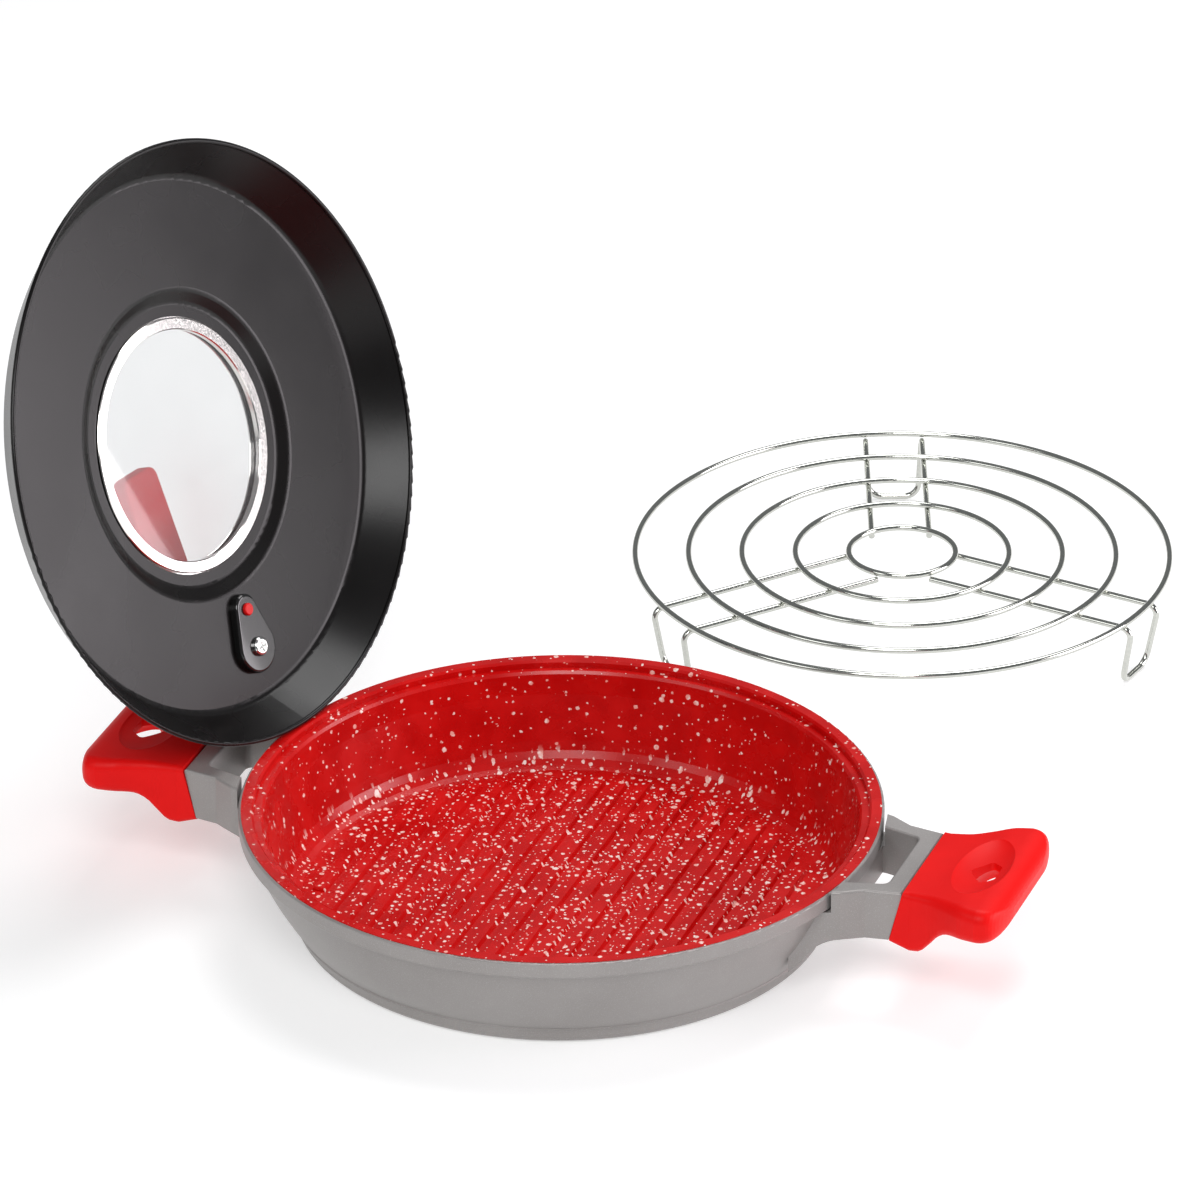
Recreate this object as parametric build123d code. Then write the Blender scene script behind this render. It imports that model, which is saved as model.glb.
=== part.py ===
from build123d import *
import math
import os

os.makedirs("parts", exist_ok=True)

# ---- pan: driving dimensions (mm) ----
rim_radius = 150.0          # outside of the rim
pan_height = 56.0           # floor of the room to the top of the rim
rim_band = 8.8              # height of the upright band under the rim
base_radius = 123.5         # outside of the flat base
ridge_z = 8.0               # thin ridge round the foot of the wall
ledge_radius = 143.0        # step inside the rim that takes the lid edge
ledge_z = 52.5
ledge_inner = 139.5
floor_z = 8.0               # top of the coated floor between the ribs
floor_flat = 123.4          # radius of the flat part of the floor
coat = 0.4                  # coating thickness
base_plate_radius = 104.0
base_plate_thick = 1.2

# ---- ribs of the floor ----
rib_pitch = 10.8
rib_height = 1.8
rib_foot = 7.6
rib_top = 5.2
rib_reach = 114.0           # radius of the ribbed area

# ---- cast handle brackets ----
bracket_top = 57.5
bracket_drop = 24.5         # depth of the bracket at its outer end
bracket_end = 177.0         # outer face at the top edge
bracket_slant = 6.0         # the outer face leans inward by this much at its foot
bracket_half = 30.5         # half width at the outer end
bracket_root_half = 39.0    # half width where the arms leave the wall
bracket_root_x = 146.0
window_x0 = 153.0           # opening between the arms
window_x1 = 167.5
window_half0 = 27.0
window_half1 = 23.0
tang_length = 13.0
tang_half = 13.0
tang_low = 40.0
tang_high = 50.0

# ---- grips ----
grip_end = 228.0
grip_half = 45.5            # widest half width near the outer end
grip_hole_x = 208.0
grip_dish = (15.2, 29.5, 5.5)
grip_recess = (13.0, 24.0, 13.0)
screw_x = 186.0

# ---- lid, drawn closed with its middle on the axis ----
bead_radius = 1.2           # rolled edge of the lid
bead_centre = 141.5
lid_z = 54.0                # height of the rolled edge when closed
sheet = 1.2
shoulder_radius = 127.0
panel_z = 18.5              # middle of the flat ring above the rolled edge
funnel_outer = 73.5
funnel_inner = 67.5
seat_z = 22.2
window_hole = 60.5
glass_radius = 58.2
glass_thick = 3.6
ring_inner = 54.6
lid_turn = 166.5            # direction from the pan axis to the edge the lid stands on (degrees)
lid_open = 109.5            # how far the lid is tipped from closed
pivot_out = 3.49            # pivot point, measured outward and up from the rolled edge
pivot_up = 0.16

# ---- lid handle ----
handle_screw_u = 103.0      # distance of the fixing screw from the lid centre
vent_u = 84.0
handle_tip_u = 12.0
handle_high = 62.0
handle_low = 53.5

# ---- rack ----
rack_ring = 132.0
rack_steps = 5
wire = 1.5                  # wire radius
rack_top = 37.0             # top of the rings above the feet
rack_pair = 14.3            # half spacing of a pair of radial wires
rack_leg_out = 134.5        # where the wire turns down
rack_foot_out = 129.0       # foot radius
rack_x = 53.8
rack_y = 335.7
rack_turn = 110.5


def turned(points):
    """Solid of revolution about Z from (radius, z) points joined by straight lines."""
    with BuildPart() as made:
        with BuildSketch(Plane.XZ):
            with BuildLine():
                Polyline(*points, close=True)
            make_face()
        revolve(axis=Axis.Z)
    return made.part


def tube(r0, r1, z0, z1):
    """Plain ring between two radii and two heights."""
    return turned([(r0, z0), (r1, z0), (r1, z1), (r0, z1)])


def softened(shape, edges, radii):
    """Round the edges with the first radius that the shape allows."""
    for radius in radii:
        try:
            result = fillet(edges, radius)
            if result.is_valid:
                return result
        except Exception:
            continue
    return shape


def teardrop(u_big, r_big, u_small, r_small):
    """Flat outline round two circles on the X axis."""
    gap = u_big - u_small
    lean = math.asin((r_big - r_small) / abs(gap))
    side = 1 if gap > 0 else -1
    cx = -math.sin(lean) * side
    cy = math.cos(lean)
    a = (u_big + r_big * cx, r_big * cy)
    b = (u_small + r_small * cx, r_small * cy)
    with BuildSketch() as made:
        with BuildLine():
            Line(b, a)
            ThreePointArc(a, (u_big + r_big * side, 0), (a[0], -a[1]))
            Line((a[0], -a[1]), (b[0], -b[1]))
            ThreePointArc((b[0], -b[1]), (u_small - r_small * side, 0), b)
        make_face()
    return made.sketch


# ================= pan =================
def cavity_line(skin):
    """Inside surface of the pan from the rim to the floor, moved into the metal by skin."""
    return [
        (rim_radius - 1.2, pan_height - skin),
        (ledge_radius + 1.0 + skin, pan_height - skin),
        (ledge_radius + skin, pan_height - 1.0 - skin),
        (ledge_radius + skin, ledge_z - skin),
        (ledge_inner + skin * 0.6, ledge_z - skin),
        (ledge_inner - 1.0 + skin, ledge_z - 1.4 - skin * 0.6),
        (136.9 + skin, 41.0),
        (133.2 + skin, 27.0),
        (131.0 + skin, 19.0),
        (129.6 + skin, 14.6 - skin * 0.3),
        (127.6 + skin * 0.8, 11.2 - skin * 0.6),
        (125.0 + skin * 0.5, 9.0 - skin * 0.9),
        (floor_flat - 1.4, floor_z - skin),
    ]


def pan_outside():
    """Solid of the whole pan outline without the hollow."""
    band_z = pan_height - rim_band
    with BuildPart() as made:
        with BuildSketch(Plane.XZ):
            with BuildLine():
                Line((0, 0), (base_radius - 2.0, 0))
                ThreePointArc((base_radius - 2.0, 0), (base_radius + 0.4, 1.2), (base_radius + 1.4, 3.4))
                Line((base_radius + 1.4, 3.4), (126.3, ridge_z - 0.7))
                Line((126.3, ridge_z - 0.7), (127.2, ridge_z))
                Line((127.2, ridge_z), (127.0, ridge_z + 0.9))
                ThreePointArc((127.0, ridge_z + 0.9), (138.3, 27.4), (146.6, band_z - 0.4))
                Line((146.6, band_z - 0.4), (149.0, band_z + 0.3))
                ThreePointArc((149.0, band_z + 0.3), (149.7, band_z + 0.7), (rim_radius, band_z + 1.4))
                Line((rim_radius, band_z + 1.4), (rim_radius, pan_height - 1.2))
                ThreePointArc(
                    (rim_radius, pan_height - 1.2),
                    (rim_radius - 0.35, pan_height - 0.35 - coat * 0.6),
                    (rim_radius - 1.2, pan_height - coat),
                )
                Line((rim_radius - 1.2, pan_height - coat), (0, pan_height - coat))
                Line((0, pan_height - coat), (0, 0))
            make_face()
        revolve(axis=Axis.Z)
    return made.part


def hollow(skin):
    """Solid that fills the pan cavity."""
    line = cavity_line(skin)
    return turned([(0, pan_height + 6)] + [(line[0][0], pan_height + 6)] + line + [(0, floor_z - skin)])


def ribs(skin):
    """Parallel raised ribs of the floor, running along Y."""
    reach = rib_reach - skin
    count = int(reach / rib_pitch)
    foot = floor_z - (coat + 0.6 if skin > 0 else coat / 2)
    top = floor_z + rib_height - skin
    bars = None
    for k in range(-count, count + 1):
        x = k * rib_pitch
        half_len = math.sqrt(reach**2 - x**2) - 1.0
        with BuildPart() as bar:
            with BuildSketch(Plane.XZ.offset(half_len)):
                with BuildLine():
                    Polyline(
                        (x - rib_foot / 2 + skin, foot),
                        (x + rib_foot / 2 - skin, foot),
                        (x + rib_top / 2 - skin * 0.7, top),
                        (x - rib_top / 2 + skin * 0.7, top),
                        close=True,
                    )
                make_face()
            extrude(amount=-2 * half_len)
        end_edges = bar.part.faces().sort_by(Axis.Y)[0].edges().sort_by(Axis.Z)[-1]
        far_edges = bar.part.faces().sort_by(Axis.Y)[-1].edges().sort_by(Axis.Z)[-1]
        piece = softened(bar.part, [end_edges, far_edges], [1.4, 1.0])
        bars = piece if bars is None else bars + piece
    return bars


def bracket(side):
    """Open cast loop that carries a grip; side is +1 or -1."""
    foot_z = bracket_top - bracket_drop
    with BuildPart() as made:
        with BuildSketch(Plane.XY.offset(10)):
            with BuildLine():
                Polyline(
                    (128, -47), (bracket_root_x - 6, -bracket_root_half - 3),
                    (bracket_root_x + 4, -bracket_root_half),
                    (160, -33.2), (bracket_end + 1, -bracket_half),
                    (bracket_end + 1, bracket_half), (160, 33.2), (bracket_root_x + 4, bracket_root_half),
                    (bracket_root_x - 6, bracket_root_half + 3), (128, 47), close=True,
                )
            make_face()
            with BuildLine():
                Polyline(
                    (window_x0 - 5, -window_half0 - 1), (window_x1, -window_half1),
                    (window_x1, window_half1), (window_x0 - 5, window_half0 + 1), close=True,
                )
            make_face(mode=Mode.SUBTRACT)
        extrude(amount=60)
        with BuildSketch(Plane.XZ.offset(-60)):
            with BuildLine():
                Line((126, 14), (133.5, 21))
                ThreePointArc((133.5, 21), (141.5, 30.2), (153.0, foot_z))
                Line((153.0, foot_z), (bracket_end - bracket_slant, foot_z))
                Line((bracket_end - bracket_slant, foot_z), (bracket_end, bracket_top))
                Line((bracket_end, bracket_top), (bracket_root_x - 2, bracket_top))
                Line((bracket_root_x - 2, bracket_top), (126, 40))
                Line((126, 40), (126, 14))
            make_face()
        extrude(amount=120, mode=Mode.INTERSECT)
    loop = made.part
    upright = [
        e for e in loop.edges().filter_by(Axis.Z)
        if e.center().X > window_x1 - 1 and abs(e.center().Y) < window_half1 + 1
    ]
    loop = softened(loop, upright, [4.0, 3.0, 2.0])
    top_edges = [
        e for e in loop.faces().filter_by(Axis.Z).sort_by(Axis.Z)[-1].edges()
        if e.center().X > bracket_root_x
    ]
    loop = softened(loop, top_edges, [1.2, 0.8])
    notch = tube(rim_radius - 8, rim_radius + 1.6, pan_height - rim_band - 0.2, 80)
    loop = loop - notch
    tang = Pos(bracket_end - 6, 0, (tang_low + tang_high) / 2) * Box(
        tang_length + 12, tang_half * 2, tang_high - tang_low, align=(Align.MIN, Align.CENTER, Align.CENTER)
    )
    tang = tang - Pos(0, 0, 0) * Box(2 * (bracket_end - 6), 80, 200)
    tang = softened(tang, tang.edges().filter_by(Axis.Z).sort_by(Axis.X)[-2:], [3.0])
    loop = loop + tang
    loop = loop - Pos(screw_x, 0, tang_low) * Cylinder(2.1, 17)
    return loop if side > 0 else loop.rotate(Axis.Z, 180)


pan_solid = pan_outside()
arms = bracket(1) + bracket(-1)
pan_body = pan_solid + arms
pan_body = pan_body - hollow(coat)
pan_body = pan_body + ribs(coat)
pan_body = pan_body - tube(0, base_plate_radius + 0.2, -1, base_plate_thick)
pan_body.label = "pan_body"

inside_of_rim = [(0, 0), (rim_radius - 1.2, 0), (rim_radius - 1.2, pan_height), (0, pan_height)]
liner = hollow(coat) & turned(inside_of_rim)
liner = liner - hollow(0)
pan_coating = liner + ribs(0)
pan_coating = pan_coating - ribs(coat)
pan_coating.label = "pan_coating"

base_plate = tube(0, base_plate_radius, 0, base_plate_thick)
export_step(pan_body, "parts/pan_body.step")
export_step(pan_coating, "parts/pan_coating.step")
export_step(base_plate, "parts/base_plate.step")


# ================= grips =================
def blend_through(points, x):
    """Smooth value at x of the curve through (x, value) points, without overshoot."""
    slopes = []
    for k in range(len(points)):
        left = points[max(k - 1, 0)]
        here = points[k]
        right = points[min(k + 1, len(points) - 1)]
        before = (here[1] - left[1]) / (here[0] - left[0]) if k > 0 else 0.0
        after = (right[1] - here[1]) / (right[0] - here[0]) if k < len(points) - 1 else 0.0
        if k == 0:
            slopes.append(after)
        elif k == len(points) - 1:
            slopes.append(before)
        elif before * after <= 0:
            slopes.append(0.0)
        else:
            slopes.append(2 * before * after / (before + after))
    for k in range(len(points) - 1):
        x0, y0 = points[k]
        x1, y1 = points[k + 1]
        if x <= x1 or k == len(points) - 2:
            h = x1 - x0
            t = (x - x0) / h
            h00 = 2 * t**3 - 3 * t**2 + 1
            h10 = t**3 - 2 * t**2 + t
            h01 = -2 * t**3 + 3 * t**2
            h11 = t**3 - t**2
            return h00 * y0 + h10 * h * slopes[k] + h01 * y1 + h11 * h * slopes[k + 1]
    return points[-1][1]


def grip(side):
    """Moulded side grip with a dished finger recess and a through hole."""
    lean = bracket_slant / bracket_drop
    face_high = bracket_top + 0.9
    face_low = bracket_top - bracket_drop - 1.2
    face_x = bracket_end + 0.2 - lean * bracket_drop / 2
    tilt = math.atan(lean)
    half_line = [
        (180.5, bracket_half + 1.4), (190, 33.8), (200, 38.4), (209, 43.4), (216, grip_half),
    ]
    low_line = [
        (180.5, 28.2), (185, 28.8), (190, 33.4), (195, 39.6), (200, 43.0), (206, 44.2), (216, 45.0),
    ]
    high_line = [(180.5, 58.6), (190, 59.3), (198, 60.3), (209, 61.7), (216, 61.9)]
    nose_x = 216.0
    sections = []
    x = 180.5
    while x < nose_x - 0.5:
        soft = 3.2 + 2.6 * (x - 180.5) / (nose_x - 180.5)
        half = blend_through(half_line, x)
        low = blend_through(low_line, x)
        high = blend_through(high_line, x)
        sections.append((x, half, low, high, soft))
        x = x + 2.2
    nose = grip_end - nose_x
    middle = 53.2
    for k in range(13):
        turn = math.radians(6.6 * k)
        shrink = math.cos(turn) ** 0.75
        wide = grip_half - 15.0 * (1 - math.cos(turn) ** 0.7) - 14.0 * math.sin(turn) ** 6
        low = middle - (middle - 45.0) * shrink
        high = middle + (61.9 - middle) * shrink
        sections.append((nose_x + nose * math.sin(turn), wide, low, high, min(5.8, (high - low) * 0.46)))
    high = (face_high - face_low) / math.cos(tilt)
    start = Plane(
        origin=(face_x, 0, (face_high + face_low) / 2), x_dir=(0, 1, 0),
        z_dir=(math.cos(tilt), 0, -math.sin(tilt)),
    )
    faces = [start * RectangleRounded(2 * bracket_half + 2.4, high, 2.2)]
    for x, half, low, top, radius in sections:
        place = Plane(origin=(x, 0, (low + top) / 2), x_dir=(0, 1, 0), z_dir=(1, 0, 0))
        faces.append(place * RectangleRounded(2 * half, top - low, radius))
    body = loft([f.face() for f in faces], ruled=True)
    dish = scale(Sphere(1), by=grip_dish)
    body = body - Pos(grip_hole_x - 4.0, 0, 63.5) * dish
    recess = scale(Sphere(1), by=grip_recess)
    body = body - Pos(grip_hole_x + 2.5, 0, 43.0) * recess
    with BuildSketch() as hole:
        with BuildLine():
            Polyline(
                (grip_hole_x - 8.6, 0), (grip_hole_x - 0.5, -10.5), (grip_hole_x + 5.2, -6.0),
                (grip_hole_x + 5.2, 6.0), (grip_hole_x - 0.5, 10.5), close=True,
            )
        make_face()
        fillet(hole.vertices(), 2.0)
    body = body - Pos(0, 0, 20) * extrude(hole.sketch, 60)
    pocket = Pos(bracket_end - 8, 0, (tang_low + tang_high) / 2) * Box(
        tang_length + 14.4, tang_half * 2 + 0.5, tang_high - tang_low + 0.5,
        align=(Align.MIN, Align.CENTER, Align.CENTER),
    )
    body = body - pocket
    body = body - Pos(screw_x, 0, 20) * Cylinder(2.4, 21, align=(Align.CENTER, Align.CENTER, Align.MIN))
    body = body - Pos(screw_x, 0, 20) * Cylinder(4.6, 13.0, align=(Align.CENTER, Align.CENTER, Align.MIN))
    return body if side > 0 else body.rotate(Axis.Z, 180)


def cross_recess(size, depth):
    """Two crossing slots for a screwdriver."""
    slot = Box(size, size * 0.26, depth)
    return slot + slot.rotate(Axis.Z, 90)


def grip_screw(side):
    """Short pan-head screw that holds a grip on its tang from below."""
    head = Pos(screw_x, 0, 30.6) * Cylinder(4.2, 2.4, align=(Align.CENTER, Align.CENTER, Align.MIN))
    head = softened(head, head.edges().sort_by(Axis.Z)[0:1], [1.0])
    shank = Pos(screw_x, 0, 33.0) * Cylinder(2.0, 14.0, align=(Align.CENTER, Align.CENTER, Align.MIN))
    screw = head + shank - Pos(screw_x, 0, 30.6) * cross_recess(4.6, 2.6)
    return screw if side > 0 else screw.rotate(Axis.Z, 180)


for side, name in ((1, "right"), (-1, "left")):
    piece = grip(side)
    export_step(piece, "parts/grip_" + name + ".step")
    export_step(grip_screw(side), "parts/grip_screw_" + name + ".step")


# ================= lid =================
def sheet_section(path, thick, radius):
    """Closed outline of a thin sheet that follows a path, with rounded bends."""
    inner = []
    outer = []
    for k, point in enumerate(path):
        before = path[max(k - 1, 0)]
        after = path[min(k + 1, len(path) - 1)]
        d0 = Vector(point[0] - before[0], point[1] - before[1], 0)
        d1 = Vector(after[0] - point[0], after[1] - point[1], 0)
        d0 = d1 if d0.length < 1e-6 else d0
        d1 = d0 if d1.length < 1e-6 else d1
        d0 = d0.normalized()
        d1 = d1.normalized()
        mid = (d0 + d1).normalized()
        normal = Vector(mid.Y, -mid.X, 0)
        reach = thick / 2 / (mid.X * d0.X + mid.Y * d0.Y)
        outer.append((point[0] + normal.X * reach, point[1] + normal.Y * reach))
        inner.append((point[0] - normal.X * reach, point[1] - normal.Y * reach))
    with BuildSketch(Plane.XZ) as made:
        with BuildLine():
            a = FilletPolyline(*outer, radius=radius)
            b = FilletPolyline(*inner, radius=radius)
            Line(a @ 0, b @ 0)
            Line(a @ 1, b @ 1)
        make_face()
    return made.sketch


def lid_place(shape):
    """Move a closed lid part from the pan axis to the tipped pose at the pan edge."""
    pivot = (-(bead_centre + pivot_out), 0, lid_z + pivot_up)
    tipped = shape.rotate(Axis(pivot, (0, 1, 0)), -lid_open)
    return tipped.rotate(Axis.Z, lid_turn - 180)


def lid_local(shape):
    """Parts drawn with +X toward the lid edge that carries the lid, turned onto the -X side."""
    return Pos(0, 0, lid_z) * shape.rotate(Axis.Z, 180)


lid_path = [
    (bead_centre - 0.5, 0.7), (shoulder_radius, panel_z), (funnel_outer, panel_z),
    (funnel_inner, seat_z), (window_hole + 0.3, seat_z),
]
shell = revolve(sheet_section(lid_path, sheet, 4.5), Axis.Z)
bead = Torus(bead_centre, bead_radius)
shell = shell + bead
shell = shell - Pos(handle_screw_u, 0, panel_z) * Cylinder(2.7, 4)
shell = shell - Pos(vent_u, 0, panel_z) * Cylinder(2.3, 4)
lid_shell = Pos(0, 0, lid_z) * shell.rotate(Axis.Z, 180)

glass_low = seat_z + 1.4
window_glass = Pos(0, 0, lid_z + glass_low) * Cylinder(
    glass_radius, glass_thick, align=(Align.CENTER, Align.CENTER, Align.MIN)
)
glass_rim = window_glass.edges()
window_glass = chamfer(glass_rim, 0.4)
ring_low = panel_z + 1.9
ring_high = glass_low + glass_thick + 0.9
window_ring = turned([
    (ring_inner, ring_low + 0.5), (ring_inner + 0.5, ring_low), (window_hole - 0.8, ring_low),
    (window_hole - 0.3, ring_low + 0.5), (window_hole - 0.3, seat_z + sheet / 2 + 0.02),
    (window_hole + 4.6, seat_z + sheet / 2 + 0.02), (window_hole + 5.0, seat_z + sheet / 2 + 0.5),
    (window_hole + 4.4, seat_z + sheet / 2 + 1.0), (window_hole + 0.6, seat_z + sheet / 2 + 1.4),
    (window_hole - 0.3, ring_high - 0.6), (window_hole - 0.9, ring_high), (ring_inner + 1.4, ring_high),
    (ring_inner + 1.1, ring_high - 0.3), (ring_inner + 1.4, ring_high - 0.6),
    (glass_radius + 0.2, ring_high - 0.6), (glass_radius + 0.2, glass_low - 0.5),
    (ring_inner, glass_low - 0.5),
])
window_ring = Pos(0, 0, lid_z) * window_ring
window_gasket = Pos(0, 0, lid_z) * tube(ring_inner + 0.4, glass_radius - 0.1, glass_low - 0.5, glass_low)
top_gasket = Pos(0, 0, lid_z) * tube(
    ring_inner + 1.6, glass_radius - 0.1, glass_low + glass_thick, glass_low + glass_thick + 0.3
)

# ---- handle of the lid and its fixing ----
panel_out = panel_z + sheet / 2
panel_in = panel_z - sheet / 2


def handle_body():
    """Paddle handle that rises from its root and reaches over the window."""
    with BuildPart() as made:
        with BuildSketch(Plane.XY.offset(10)):
            with BuildLine():
                FilletPolyline(
                    (130, 15.5), (70, 14.5), (handle_tip_u, 12.5), (handle_tip_u, -12.5), (70, -14.5),
                    (130, -15.5), radius=5, close=True,
                )
            make_face()
        extrude(amount=60)
        with BuildSketch(Plane.XZ.offset(-40)):
            with BuildLine():
                FilletPolyline(
                    (120.0, panel_out + 0.82), (125.4, 31.0), (123.4, 43.8),
                    (96.0, 58.5), (72.0, handle_high),
                    (handle_tip_u - 0.5, handle_high), (handle_tip_u - 0.5, handle_low),
                    (66.0, handle_low - 0.5), (74.5, 46.0), (78.0, 36.0), (77.0, panel_out + 0.82),
                    radius=2.2, close=True,
                )
            make_face()
        extrude(amount=80, mode=Mode.INTERSECT)
    return made.part


lid_handle = handle_body()
handle_edges = [e for e in lid_handle.edges() if e.center().Z > 48 and abs(e.center().Y) > 11.5]
lid_handle = softened(lid_handle, handle_edges, [1.5, 1.0])
lid_handle = lid_handle - Pos(handle_screw_u, 0, panel_out) * Cylinder(
    2.5, 17, align=(Align.CENTER, Align.CENTER, Align.MIN)
)
lid_handle = lid_handle - Pos(vent_u, 0, panel_out) * Cylinder(
    2.4, 6, align=(Align.CENTER, Align.CENTER, Align.MIN)
)
seal_face = teardrop(handle_screw_u, 13.0, vent_u, 7.0)
handle_seal = Pos(0, 0, panel_out) * extrude(seal_face, 0.8)
handle_seal = handle_seal - Pos(handle_screw_u, 0, panel_out) * Cylinder(2.7, 4)
handle_seal = handle_seal - Pos(vent_u, 0, panel_out) * Cylinder(2.4, 4)
plate_face = teardrop(handle_screw_u, 12.6, vent_u, 7.4)
plate_thick = 4.0
handle_plate = Pos(0, 0, panel_in - plate_thick) * extrude(plate_face, plate_thick)
handle_plate = softened(handle_plate, handle_plate.faces().sort_by(Axis.Z)[0].edges(), [1.4, 1.0])
handle_plate = handle_plate - Pos(handle_screw_u, 0, panel_in - 2) * Cylinder(2.7, 8)
handle_plate = handle_plate - Pos(vent_u, 0, panel_in - 2) * Cylinder(2.3, 8)
screw_low = panel_in - plate_thick
handle_screw = Pos(handle_screw_u, 0, screw_low - 2.4) * Cylinder(
    4.6, 2.4, align=(Align.CENTER, Align.CENTER, Align.MIN)
)
handle_screw = softened(handle_screw, handle_screw.edges().sort_by(Axis.Z)[0:1], [1.4, 1.0])
handle_screw = handle_screw + Pos(handle_screw_u, 0, screw_low) * Cylinder(
    2.3, 18, align=(Align.CENTER, Align.CENTER, Align.MIN)
)
handle_screw = handle_screw - Pos(handle_screw_u, 0, screw_low - 2.4) * cross_recess(5.2, 2.8)
vent_pin = Pos(vent_u, 0, screw_low - 1.6) * Cylinder(3.0, 1.6, align=(Align.CENTER, Align.CENTER, Align.MIN))
vent_pin = softened(vent_pin, vent_pin.edges().sort_by(Axis.Z)[0:1], [0.8, 0.5])
vent_pin = vent_pin + Pos(vent_u, 0, screw_low) * Cylinder(
    2.2, plate_thick + 3.0, align=(Align.CENTER, Align.CENTER, Align.MIN)
)

lid_parts = {
    "lid_shell": lid_shell,
    "window_glass": window_glass,
    "window_ring": window_ring,
    "window_gasket": window_gasket + top_gasket,
    "lid_handle": lid_local(lid_handle),
    "handle_seal": lid_local(handle_seal),
    "handle_plate": lid_local(handle_plate),
    "handle_screw": lid_local(handle_screw),
    "vent_pin": lid_local(vent_pin),
}
for name, piece in lid_parts.items():
    export_step(lid_place(piece), "parts/" + name + ".step")


# ================= rack =================
def rack_place(shape):
    """Stand a rack part beside the pan."""
    return Pos(rack_x, rack_y, 0) * shape.rotate(Axis.Z, rack_turn)


ring_z = rack_top - wire
spoke_z = ring_z - 2 * wire - 0.02
for k in range(1, rack_steps + 1):
    ring = Pos(0, 0, ring_z) * Torus(rack_ring * k / rack_steps, wire)
    export_step(rack_place(ring), "parts/rack_ring_" + str(k) + ".step")


def leg_wire():
    """One wire: in along a spoke, down, across the foot, up and back along the next spoke."""
    inner = rack_ring / rack_steps - 3.0
    pull = 1.8
    points = [
        (inner, rack_pair, spoke_z), (rack_leg_out, rack_pair, spoke_z),
        (rack_foot_out, rack_pair - pull, wire), (rack_foot_out, pull - rack_pair, wire),
        (rack_leg_out, -rack_pair, spoke_z), (inner, -rack_pair, spoke_z),
    ]
    bends = [5.0, 7.0, 7.0, 5.0]
    edges = []
    at = Vector(*points[0])
    for k, radius in enumerate(bends):
        corner = Vector(*points[k + 1])
        back = (Vector(*points[k]) - corner).normalized()
        onward = (Vector(*points[k + 2]) - corner).normalized()
        angle = math.acos(back.dot(onward))
        cut = radius / math.tan(angle / 2)
        start = corner + back * cut
        end = corner + onward * cut
        middle_dir = (back + onward).normalized()
        centre = corner + middle_dir * (radius / math.sin(angle / 2))
        middle = centre - middle_dir * radius
        edges.append(Edge.make_line(at, start))
        edges.append(Edge.make_three_point_arc(start, middle, end))
        at = end
    edges.append(Edge.make_line(at, Vector(*points[-1])))
    path = Wire(edges)
    profile = Plane(origin=points[0], z_dir=(1, 0, 0)) * Circle(wire)
    return sweep(profile, path=path)


leg = leg_wire()
for k in range(3):
    export_step(rack_place(leg.rotate(Axis.Z, 120 * k)), "parts/rack_leg_" + str(k + 1) + ".step")
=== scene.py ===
import math

import bpy
from mathutils import Matrix, Vector

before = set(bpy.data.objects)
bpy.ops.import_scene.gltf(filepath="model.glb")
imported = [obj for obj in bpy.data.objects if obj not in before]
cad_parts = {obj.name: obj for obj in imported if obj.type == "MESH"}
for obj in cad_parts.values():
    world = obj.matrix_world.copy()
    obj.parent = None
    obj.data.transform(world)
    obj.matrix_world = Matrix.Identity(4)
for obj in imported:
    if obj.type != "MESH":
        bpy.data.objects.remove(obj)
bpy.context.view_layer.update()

# ---------------------------------------------------------------- driving values

# speckles of the coating: cell (mm), dot radius (mm), chance of a dot in a cell, pattern offset
floor_speckles = ((4.4, 0.98, 0.60, 0.0), (2.6, 0.48, 0.38, 5.3), (7.5, 1.30, 0.42, 3.7))
wall_speckles = ((4.0, 0.88, 0.42, 1.9), (6.6, 1.25, 0.52, 8.1), (2.6, 0.48, 0.36, 6.4))
floor_speckle_top = 0.0125              # floor speckles fade out between these two heights (m)
wall_speckle_low = 0.0175
speckle_wobble = 0.0014                 # how far the dots are pushed out of round (m)

glass_ior = 1.45
turning_marks = 9000.0                  # radians of turning mark per metre of radius

floor_size = 30.0                       # m
floor_drop = 0.0004                     # the floor lies this far under the base (m)
floor_tone = (0.66, 0.66, 0.66, 1)
floor_glow = 0.44

handle_azimuth = math.radians(-20.5)    # free grip's direction as the camera sees it, 0 = to the right
pitch = math.radians(27.31)             # camera looks down by this angle
roll = math.radians(-0.36)
camera_up = 2.0561                      # camera height over the floor (m)
pan_aside = -0.0185                     # pan axis from the camera, across and away (m)
pan_away = 3.6676
focal_length = 270.0                    # mm
sensor_width = 36.0                     # mm

# lamps, placed as the camera sees them: position, aim, width, height (m), power (W), colour
white = (1.0, 1.0, 1.0)
lamps = {
    "key": ((-0.15, -1.7, 1.75), (0, 0, 0.05), 1.0, 1.0, 26.0, white),
    "fill": ((-1.8, -1.2, 1.5), (0, 0, 0.05), 1.2, 1.2, 10.0, white),
    "top": ((0.5, 1.05, 2.1), (0, 0, 0), 1.2, 1.2, 26.0, white),
    "side": ((1.45, 0.0, 0.44), (-0.2, 0.0, 0.2), 0.85, 0.85, 15.0, (1.0, 0.94, 0.98)),
}
room_tone = (0.94, 0.97, 1.0, 1)
room_strength = 0.22

# ---------------------------------------------------------------- node helpers


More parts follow.
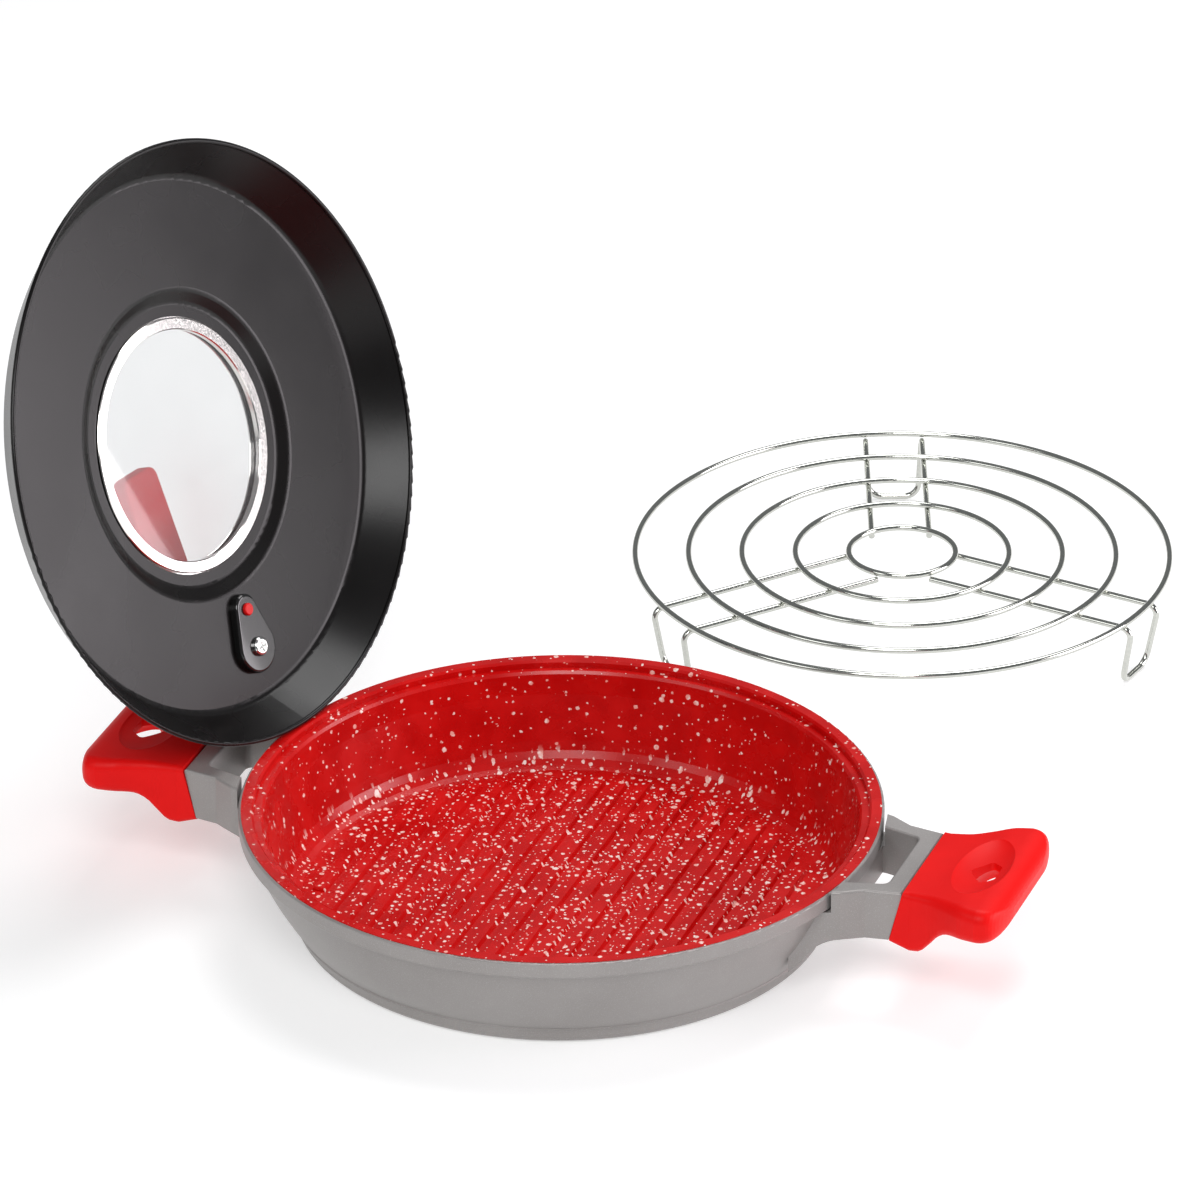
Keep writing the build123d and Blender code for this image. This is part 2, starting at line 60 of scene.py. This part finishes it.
class Nodes:
    """Small helper that builds one material's node tree."""

    def __init__(self, name):
        self.material = bpy.data.materials.new(name)
        self.material.use_nodes = True
        self.tree = self.material.node_tree
        self.tree.nodes.clear()
        self.out = self.add("ShaderNodeOutputMaterial")

    def add(self, kind, **values):
        node = self.tree.nodes.new(kind)
        for key, value in values.items():
            setattr(node, key, value)
        return node

    def link(self, a, b):
        self.tree.links.new(a, b)

    def put(self, socket, value):
        if isinstance(value, bpy.types.NodeSocket):
            self.link(value, socket)
        else:
            socket.default_value = value

    def coords(self):
        return self.add("ShaderNodeTexCoord").outputs["Object"]

    def noise(self, vector, scale, detail=2.0, rough=0.5):
        node = self.add("ShaderNodeTexNoise")
        self.link(vector, node.inputs["Vector"])
        node.inputs["Scale"].default_value = scale
        node.inputs["Detail"].default_value = detail
        node.inputs["Roughness"].default_value = rough
        return node

    def math(self, op, a, b=0.5):
        node = self.add("ShaderNodeMath", operation=op)
        self.put(node.inputs[0], a)
        self.put(node.inputs[1], b)
        return node.outputs[0]

    def remap(self, value, low, high, to_low=0.0, to_high=1.0, smooth=False):
        node = self.add("ShaderNodeMapRange")
        node.interpolation_type = "SMOOTHSTEP" if smooth else "LINEAR"
        self.put(node.inputs["Value"], value)
        self.put(node.inputs["From Min"], low)
        self.put(node.inputs["From Max"], high)
        self.put(node.inputs["To Min"], to_low)
        self.put(node.inputs["To Max"], to_high)
        return node.outputs["Result"]

    def mix(self, factor, a, b):
        node = self.add("ShaderNodeMix", data_type="RGBA")
        self.put(node.inputs[0], factor)
        self.put(node.inputs[6], a)
        self.put(node.inputs[7], b)
        return node.outputs[2]

    def bump(self, height, distance, strength):
        node = self.add("ShaderNodeBump")
        node.inputs["Strength"].default_value = strength
        node.inputs["Distance"].default_value = distance
        self.put(node.inputs["Height"], height)
        return node.outputs["Normal"]

    def shader(self, base, roughness, metallic=0.0, normal=None, **sockets):
        node = self.add("ShaderNodeBsdfPrincipled")
        self.put(node.inputs["Base Color"], base)
        self.put(node.inputs["Roughness"], roughness)
        self.put(node.inputs["Metallic"], metallic)
        for key, value in sockets.items():
            self.put(node.inputs[key.replace("_", " ")], value)
        if normal is not None:
            self.link(normal, node.inputs["Normal"])
        self.link(node.outputs["BSDF"], self.out.inputs["Surface"])
        return node


# ---------------------------------------------------------------- materials


def cast_paint():
    """Silver-grey paint over a cast body: faint flakes and soft mottling."""
    n = Nodes("cast_paint")
    at = n.coords()
    mottle = n.noise(at, 14.0, 4.0, 0.6).outputs["Fac"]
    flake = n.noise(at, 2600.0, 1.0).outputs["Fac"]
    grain = n.noise(at, 900.0, 3.0, 0.6).outputs["Fac"]
    tone = n.mix(n.remap(mottle, 0.3, 0.7), (0.262, 0.244, 0.236, 1), (0.318, 0.300, 0.292, 1))
    tone = n.mix(n.remap(flake, 0.58, 0.72, 0.0, 0.35), tone, (0.52, 0.51, 0.50, 1))
    rough = n.remap(mottle, 0.3, 0.7, 0.36, 0.46)
    normal = n.bump(grain, 0.00006, 0.35)
    n.shader(tone, rough, 0.35, normal)
    return n.material


def speckle_layer(n, place, cell, size, chance, seed, flat):
    """Round dots scattered one to a cell; flat dots are spread in plan, the others in space."""
    moved = n.add("ShaderNodeMapping")
    moved.inputs["Location"].default_value = (seed, seed * 0.7, seed * 1.3)   # its own pattern per layer
    n.link(place, moved.inputs["Vector"])
    voronoi = n.add("ShaderNodeTexVoronoi", feature="F1", voronoi_dimensions="2D" if flat else "3D")
    voronoi.inputs["Scale"].default_value = 1000.0 / cell
    n.link(moved.outputs["Vector"], voronoi.inputs["Vector"])
    colour = n.add("ShaderNodeSeparateColor")
    n.link(voronoi.outputs["Color"], colour.inputs[0])
    radius = n.remap(colour.outputs["Green"], 0.0, 1.0, size / cell * 0.45, size / cell * 1.25)
    edge = n.math("MULTIPLY", radius, 0.70)
    dot = n.remap(voronoi.outputs["Distance"], edge, radius, 1.0, 0.0, smooth=True)
    return n.math("MULTIPLY", dot, n.math("LESS_THAN", colour.outputs["Red"], chance))


def speckled_red():
    """Glossy red coating with pale speckles, dense on the floor and sparse on the wall."""
    n = Nodes("speckled_red")
    at = n.coords()
    wobble = n.noise(at, 620.0, 2.0, 0.6)
    shift = n.add("ShaderNodeMix", data_type="VECTOR")
    shift.inputs[0].default_value = speckle_wobble
    n.link(at, shift.inputs[4])
    n.link(wobble.outputs["Color"], shift.inputs[5])
    place = shift.outputs[1]
    split = n.add("ShaderNodeSeparateXYZ")
    n.link(at, split.inputs[0])
    height = split.outputs["Z"]
    low = n.remap(height, floor_speckle_top, wall_speckle_low, 1.0, 0.0)
    patch = n.remap(n.noise(at, 38.0, 2.0).outputs["Fac"], 0.38, 0.62, 0.62, 1.0)
    on_floor = None
    for cell, size, chance, seed in floor_speckles:
        dot = speckle_layer(n, place, cell, size, n.math("MULTIPLY", patch, chance), seed, True)
        on_floor = dot if on_floor is None else n.math("MAXIMUM", on_floor, dot)
    on_wall = None
    for cell, size, chance, seed in wall_speckles:
        dot = speckle_layer(n, place, cell, size, chance, seed, False)
        on_wall = dot if on_wall is None else n.math("MAXIMUM", on_wall, dot)
    floor_part = n.math("MULTIPLY", on_floor, low)
    wall_part = n.math("MULTIPLY", on_wall, n.math("SUBTRACT", 1.0, low))
    speckles = n.math("ADD", floor_part, wall_part)
    fine = n.noise(at, 60.0, 3.0).outputs["Fac"]
    red = n.mix(n.remap(fine, 0.35, 0.65), (0.50, 0.0018, 0.0018, 1), (0.60, 0.0030, 0.0025, 1))
    tint = n.noise(at, 420.0, 1.0).outputs["Fac"]
    pale = n.mix(n.remap(tint, 0.38, 0.60), (0.88, 0.42, 0.36, 1), (0.93, 0.82, 0.76, 1))
    colour = n.mix(speckles, red, pale)
    normal = n.bump(speckles, 0.00007, 0.5)
    n.shader(colour, n.remap(fine, 0.3, 0.7, 0.22, 0.32), 0.0, normal, Specular_IOR_Level=0.34)
    return n.material


def moulded(name, colour, darker, roughness, coat=0.0, shine=0.22):
    """Smooth heat-proof moulding with a very fine surface texture."""
    n = Nodes(name)
    at = n.coords()
    cloud = n.noise(at, 40.0, 3.0).outputs["Fac"]
    grain = n.noise(at, 1500.0, 2.0).outputs["Fac"]
    tone = n.mix(n.remap(cloud, 0.3, 0.7), darker, colour)
    normal = n.bump(grain, 0.00003, 0.25)
    n.shader(
        tone, n.remap(cloud, 0.3, 0.7, roughness - 0.03, roughness + 0.04), 0.0, normal,
        Coat_Weight=coat, Specular_IOR_Level=shine,
    )
    return n.material


def satin_black():
    """Satin black enamel on spun sheet: soft orange peel and a faint cloudy tone; no turning marks are
    drawn.
    """
    n = Nodes("satin_black")
    at = n.coords()
    peel = n.noise(at, 420.0, 2.0).outputs["Fac"]
    cloud = n.noise(at, 18.0, 3.0).outputs["Fac"]
    tone = n.mix(n.remap(cloud, 0.3, 0.7), (0.0038, 0.0032, 0.0032, 1), (0.0056, 0.0048, 0.0048, 1))
    normal = n.bump(peel, 0.00004, 0.3)
    rough = n.remap(cloud, 0.3, 0.7, 0.24, 0.30)
    n.shader(tone, rough, 0.0, normal, Specular_IOR_Level=0.27)
    return n.material


def polished(name, tone, roughness, grain_scale):
    """Bright metal with hairline grain."""
    n = Nodes(name)
    at = n.coords()
    hair = n.noise(at, grain_scale, 3.0, 0.6).outputs["Fac"]
    base = n.mix(n.remap(hair, 0.35, 0.65), tuple(0.9 * c for c in tone[:3]) + (1,), tone)
    normal = n.bump(hair, 0.00002, 0.15)
    n.shader(base, n.remap(hair, 0.3, 0.7, roughness * 0.8, roughness * 1.3), 1.0, normal)
    return n.material


def turned_steel():
    """Heat-spreader disc with turning marks."""
    n = Nodes("turned_steel")
    at = n.coords()
    length = n.add("ShaderNodeVectorMath", operation="LENGTH")
    n.link(at, length.inputs[0])
    rings = n.math("SINE", n.math("MULTIPLY", length.outputs["Value"], turning_marks))
    cloud = n.noise(at, 30.0, 3.0).outputs["Fac"]
    base = n.mix(n.remap(cloud, 0.3, 0.7), (0.42, 0.42, 0.42, 1), (0.55, 0.55, 0.54, 1))
    normal = n.bump(rings, 0.00003, 0.4)
    n.shader(base, 0.32, 1.0, normal)
    return n.material


def window_clear():
    """Clear toughened glass with a light haze."""
    n = Nodes("window_clear")
    at = n.coords()
    haze = n.noise(at, 25.0, 2.0).outputs["Fac"]
    clear = n.add("ShaderNodeBsdfTransparent")
    clear.inputs["Color"].default_value = (0.985, 0.99, 0.99, 1)
    veil = n.add("ShaderNodeBsdfTranslucent")
    veil.inputs["Color"].default_value = (0.95, 0.96, 0.97, 1)
    gloss = n.add("ShaderNodeBsdfGlossy")
    gloss.inputs["Roughness"].default_value = 0.02
    first = n.add("ShaderNodeMixShader")
    n.link(n.remap(haze, 0.3, 0.7, 0.13, 0.17), first.inputs[0])
    n.link(clear.outputs[0], first.inputs[1])
    n.link(veil.outputs[0], first.inputs[2])
    fresnel = n.add("ShaderNodeFresnel")
    fresnel.inputs["IOR"].default_value = glass_ior
    facing = n.add("ShaderNodeNewGeometry")
    front = n.math("SUBTRACT", 1.0, facing.outputs["Backfacing"])
    second = n.add("ShaderNodeMixShader")
    n.link(n.math("MULTIPLY", fresnel.outputs[0], front), second.inputs[0])
    n.link(first.outputs[0], second.inputs[1])
    n.link(gloss.outputs[0], second.inputs[2])
    n.link(second.outputs[0], n.out.inputs["Surface"])
    return n.material


def seal_black():
    """Dull rubber."""
    n = Nodes("seal_black")
    grain = n.noise(n.coords(), 900.0, 2.0).outputs["Fac"]
    n.shader((0.02, 0.02, 0.021, 1), 0.7, 0.0, n.bump(grain, 0.00004, 0.4))
    return n.material


def dress_nodes():
    """Give every CAD node its material."""
    grip_red = moulded("grip_red", (0.80, 0.0055, 0.005, 1), (0.72, 0.004, 0.004, 1), 0.42, shine=0.12)
    handle_red = moulded("handle_red", (0.60, 0.006, 0.012, 1), (0.54, 0.005, 0.010, 1), 0.42, shine=0.15)
    pin_red = moulded("pin_red", (0.70, 0.008, 0.008, 1), (0.60, 0.006, 0.006, 1), 0.30)
    plate_tones = ((0.010, 0.010, 0.010, 1), (0.007, 0.007, 0.007, 1))
    plate_black = moulded("plate_black", *plate_tones, 0.14, 0.5, 0.4)
    screw_steel = polished("screw_steel", (0.78, 0.78, 0.77, 1), 0.16, 1500.0)
    seal = seal_black()
    finish = {
        "pan_body": cast_paint(), "pan_coating": speckled_red(), "base_plate": turned_steel(),
        "grip_right": grip_red, "grip_left": grip_red,
        "grip_screw_right": screw_steel, "grip_screw_left": screw_steel,
        "lid_shell": satin_black(), "window_glass": window_clear(),
        "window_ring": polished("ring_steel", (0.82, 0.80, 0.78, 1), 0.14, 900.0),
        "window_gasket": seal, "lid_handle": handle_red, "handle_seal": seal,
        "handle_plate": plate_black, "handle_screw": screw_steel, "vent_pin": pin_red,
    }
    chrome = polished("chrome_wire", (0.60, 0.61, 0.57, 1), 0.10, 700.0)
    for name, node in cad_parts.items():
        node.data.materials.clear()
        node.data.materials.append(chrome if name.startswith("rack_") else finish[name])


# ---------------------------------------------------------------- stage


def turned(v):
    """Point or direction as the camera sees it, in the object's own frame."""
    c, s = math.cos(handle_azimuth), math.sin(handle_azimuth)
    return Vector((v[0] * c + v[1] * s, -v[0] * s + v[1] * c, v[2]))


def floor_plane():
    """Plain pale floor under the object."""
    look = Nodes("floor_white")
    look.shader(
        floor_tone, 0.9, Specular_IOR_Level=0.0,
        Emission_Color=(1, 1, 1, 1), Emission_Strength=floor_glow,
    )
    half = floor_size / 2
    corners = [(x, y, -floor_drop) for x, y in ((-half, -half), (half, -half), (half, half), (-half, half))]
    mesh = bpy.data.meshes.new("floor")
    mesh.from_pydata(corners, [], [(0, 1, 2, 3)])
    mesh.materials.append(look.material)
    floor = bpy.data.objects.new("floor", mesh)
    bpy.context.scene.collection.objects.link(floor)
    return floor


def place_camera():
    """Long lens from a little above the rim."""
    right = Vector((1, 0, 0))
    forward = Vector((0, math.cos(pitch), -math.sin(pitch)))
    upward = Vector((0, math.sin(pitch), math.cos(pitch)))
    axis_x = turned(right * math.cos(roll) + upward * math.sin(roll))
    axis_y = turned(upward * math.cos(roll) - right * math.sin(roll))
    axis_z = turned(-forward)
    data = bpy.data.cameras.new("camera")
    data.sensor_fit = "HORIZONTAL"
    data.sensor_width = sensor_width
    data.lens = focal_length
    data.clip_end = 100.0
    camera = bpy.data.objects.new("camera", data)
    bpy.context.scene.collection.objects.link(camera)
    turn = Matrix((axis_x, axis_y, axis_z)).transposed().to_4x4()
    camera.matrix_world = Matrix.Translation(turned((-pan_aside, -pan_away, camera_up))) @ turn
    bpy.context.scene.camera = camera


def lamp(name, spot, aim, width, height, power, colour):
    """Soft rectangular light turned towards a point."""
    data = bpy.data.lights.new(name, "AREA")
    data.shape = "RECTANGLE"
    data.size = width
    data.size_y = height
    data.energy = power
    data.color = colour
    made = bpy.data.objects.new(name, data)
    bpy.context.scene.collection.objects.link(made)
    spot = turned(spot)
    facing = (turned(aim) - spot).to_track_quat("-Z", "Y").to_matrix().to_4x4()
    made.matrix_world = Matrix.Translation(spot) @ facing


def room():
    """Even grey surroundings."""
    world = bpy.data.worlds.new("studio")
    world.use_nodes = True
    backdrop = world.node_tree.nodes["Background"]
    backdrop.inputs["Color"].default_value = room_tone
    backdrop.inputs["Strength"].default_value = room_strength
    bpy.context.scene.world = world
    bpy.context.scene.view_settings.view_transform = "Standard"


dress_nodes()
floor_plane()
place_camera()
for name, values in lamps.items():
    lamp(name, *values)
room()
